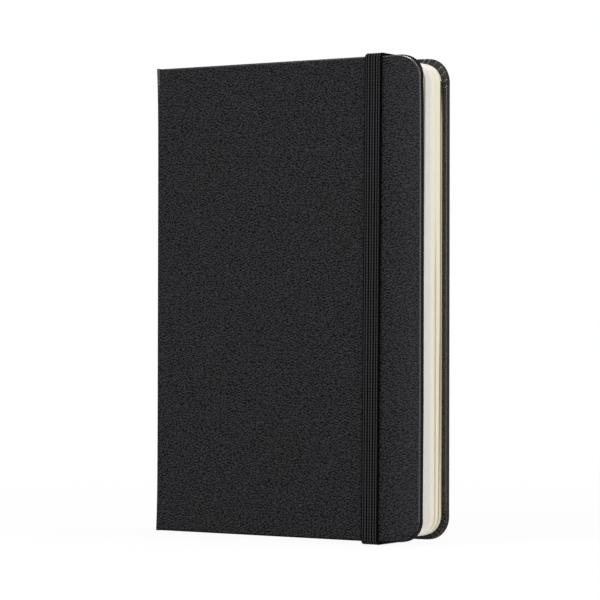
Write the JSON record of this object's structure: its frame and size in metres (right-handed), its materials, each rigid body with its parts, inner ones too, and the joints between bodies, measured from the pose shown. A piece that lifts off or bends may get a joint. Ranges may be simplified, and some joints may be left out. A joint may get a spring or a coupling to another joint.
{
  "type": "pocket notebook",
  "caption": "Hard-cover pocket notebook with rounded corners, a sewn page block, an inner pocket and an elastic band that holds it shut.",
  "frame": {"origin": "under the middle of the closed book, level with the underside of the elastic, on which it stands", "axes": "+Z from tail to head, +X from the spine to the fore-edge, +Y from the front cover to the back cover"},
  "size_m": [0.092, 0.019, 0.142],
  "materials": {
    "leatherette": "satin",
    "grey_board": "matte",
    "ivory_paper": "matte",
    "pocket_card": "matte",
    "gusset_cloth": "matte",
    "lining_cloth": "matte",
    "linen_thread": "matte",
    "elastic": "matte"
  },
  "bodies": {
    "back_cover": {"back_cover_wrap": "leatherette", "back_board": "grey_board", "back_pastedown": "ivory_paper", "elastic_end_head": "elastic", "elastic_end_tail": "elastic", "pocket_back_panel": "pocket_card", "pocket_gusset_head": "gusset_cloth", "pocket_gusset_tail": "gusset_cloth", "pocket_fold": "gusset_cloth"},
    "spine": {"spine_wrap": "leatherette", "spine_strip": "grey_board", "spine_lining": "lining_cloth", "sewing_thread": "linen_thread"},
    "front_cover": {"front_cover_wrap": "leatherette", "front_board": "grey_board", "front_pastedown": "ivory_paper"},
    "front_flyleaf": {"front_flyleaf": "ivory_paper"},
    "signature_01": {"signature_01": "ivory_paper"},
    "signature_02": {"signature_02": "ivory_paper"},
    "signature_03": {"signature_03": "ivory_paper"},
    "signature_04": {"signature_04": "ivory_paper"},
    "signature_05": {"signature_05": "ivory_paper"},
    "signature_06": {"signature_06": "ivory_paper"},
    "signature_07": {"signature_07": "ivory_paper"},
    "signature_08": {"signature_08": "ivory_paper"},
    "signature_09": {"signature_09": "ivory_paper"},
    "signature_10": {"signature_10": "ivory_paper"},
    "signature_11": {"signature_11": "ivory_paper"},
    "signature_12": {"signature_12": "ivory_paper"},
    "back_flyleaf": {"back_flyleaf": "ivory_paper"},
    "pocket_front_panel": {"pocket_front_panel": "pocket_card"},
    "elastic_band": {"elastic_band": "elastic"}
  },
  "joints": [
    {"name": "spine_hinge", "type": "hinge", "parent": "back_cover", "child": "spine", "pos_m": [-0.046, 0.0085, 0.071], "axis": [0, 0, -1], "range_deg": [0, 90]},
    {"name": "front_cover_hinge", "type": "hinge", "parent": "spine", "child": "front_cover", "pos_m": [-0.046, -0.0085, 0.071], "axis": [0, 0, -1], "range_deg": [0, 90]},
    {"name": "front_flyleaf_turn", "type": "hinge", "parent": "back_cover", "child": "front_flyleaf", "pos_m": [-0.0437, 0, 0.071], "axis": [0, 0, -1], "range_deg": [0, 175]},
    {"name": "signature_01_turn", "type": "hinge", "parent": "back_cover", "child": "signature_01", "pos_m": [-0.0437, 0, 0.071], "axis": [0, 0, -1], "range_deg": [0, 165]},
    {"name": "signature_02_turn", "type": "hinge", "parent": "back_cover", "child": "signature_02", "pos_m": [-0.0437, 0, 0.071], "axis": [0, 0, -1], "range_deg": [0, 155]},
    {"name": "signature_03_turn", "type": "hinge", "parent": "back_cover", "child": "signature_03", "pos_m": [-0.0437, 0, 0.071], "axis": [0, 0, -1], "range_deg": [0, 145]},
    {"name": "signature_04_turn", "type": "hinge", "parent": "back_cover", "child": "signature_04", "pos_m": [-0.0437, 0, 0.071], "axis": [0, 0, -1], "range_deg": [0, 135]},
    {"name": "signature_05_turn", "type": "hinge", "parent": "back_cover", "child": "signature_05", "pos_m": [-0.0437, 0, 0.071], "axis": [0, 0, -1], "range_deg": [0, 125]},
    {"name": "signature_06_turn", "type": "hinge", "parent": "back_cover", "child": "signature_06", "pos_m": [-0.0437, 0, 0.071], "axis": [0, 0, -1], "range_deg": [0, 115]},
    {"name": "signature_07_turn", "type": "hinge", "parent": "back_cover", "child": "signature_07", "pos_m": [-0.0437, 0, 0.071], "axis": [0, 0, -1], "range_deg": [0, 105]},
    {"name": "signature_08_turn", "type": "hinge", "parent": "back_cover", "child": "signature_08", "pos_m": [-0.0437, 0, 0.071], "axis": [0, 0, -1], "range_deg": [0, 95]},
    {"name": "signature_09_turn", "type": "hinge", "parent": "back_cover", "child": "signature_09", "pos_m": [-0.0437, 0, 0.071], "axis": [0, 0, -1], "range_deg": [0, 85]},
    {"name": "signature_10_turn", "type": "hinge", "parent": "back_cover", "child": "signature_10", "pos_m": [-0.0437, 0, 0.071], "axis": [0, 0, -1], "range_deg": [0, 75]},
    {"name": "signature_11_turn", "type": "hinge", "parent": "back_cover", "child": "signature_11", "pos_m": [-0.0437, 0, 0.071], "axis": [0, 0, -1], "range_deg": [0, 65]},
    {"name": "signature_12_turn", "type": "hinge", "parent": "back_cover", "child": "signature_12", "pos_m": [-0.0437, 0, 0.071], "axis": [0, 0, -1], "range_deg": [0, 55]},
    {"name": "back_flyleaf_turn", "type": "hinge", "parent": "back_cover", "child": "back_flyleaf", "pos_m": [-0.0437, 0, 0.071], "axis": [0, 0, -1], "range_deg": [0, 45]},
    {"name": "pocket_opening", "type": "hinge", "parent": "back_cover", "child": "pocket_front_panel", "pos_m": [0.0447, 0.005, 0.071], "axis": [0, 0, 1], "range_deg": [0, 8]},
    {"name": "elastic_release", "type": "hinge", "parent": "back_cover", "child": "elastic_band", "pos_m": [0.0299, 0.00855, 0.071], "axis": [0, 0, 1], "range_deg": [0, 180], "deforming": ["elastic_band"]}
  ],
  "couplings": [
    {"joint": "spine_hinge", "follows": "front_cover_hinge", "ratio": 1},
    {"joint": "front_flyleaf_turn", "follows": "front_cover_hinge", "ratio": 1.9444},
    {"joint": "signature_01_turn", "follows": "front_cover_hinge", "ratio": 1.8333},
    {"joint": "signature_02_turn", "follows": "front_cover_hinge", "ratio": 1.7222},
    {"joint": "signature_03_turn", "follows": "front_cover_hinge", "ratio": 1.6111},
    {"joint": "signature_04_turn", "follows": "front_cover_hinge", "ratio": 1.5},
    {"joint": "signature_05_turn", "follows": "front_cover_hinge", "ratio": 1.3889},
    {"joint": "signature_06_turn", "follows": "front_cover_hinge", "ratio": 1.2778},
    {"joint": "signature_07_turn", "follows": "front_cover_hinge", "ratio": 1.1667},
    {"joint": "signature_08_turn", "follows": "front_cover_hinge", "ratio": 1.0556},
    {"joint": "signature_09_turn", "follows": "front_cover_hinge", "ratio": 0.94444},
    {"joint": "signature_10_turn", "follows": "front_cover_hinge", "ratio": 0.83333},
    {"joint": "signature_11_turn", "follows": "front_cover_hinge", "ratio": 0.72222},
    {"joint": "signature_12_turn", "follows": "front_cover_hinge", "ratio": 0.61111},
    {"joint": "back_flyleaf_turn", "follows": "front_cover_hinge", "ratio": 0.5},
    {"joint": "pocket_opening", "follows": "front_cover_hinge", "ratio": 0.088888},
    {"joint": "elastic_release", "follows": "front_cover_hinge", "ratio": 2}
  ]
}
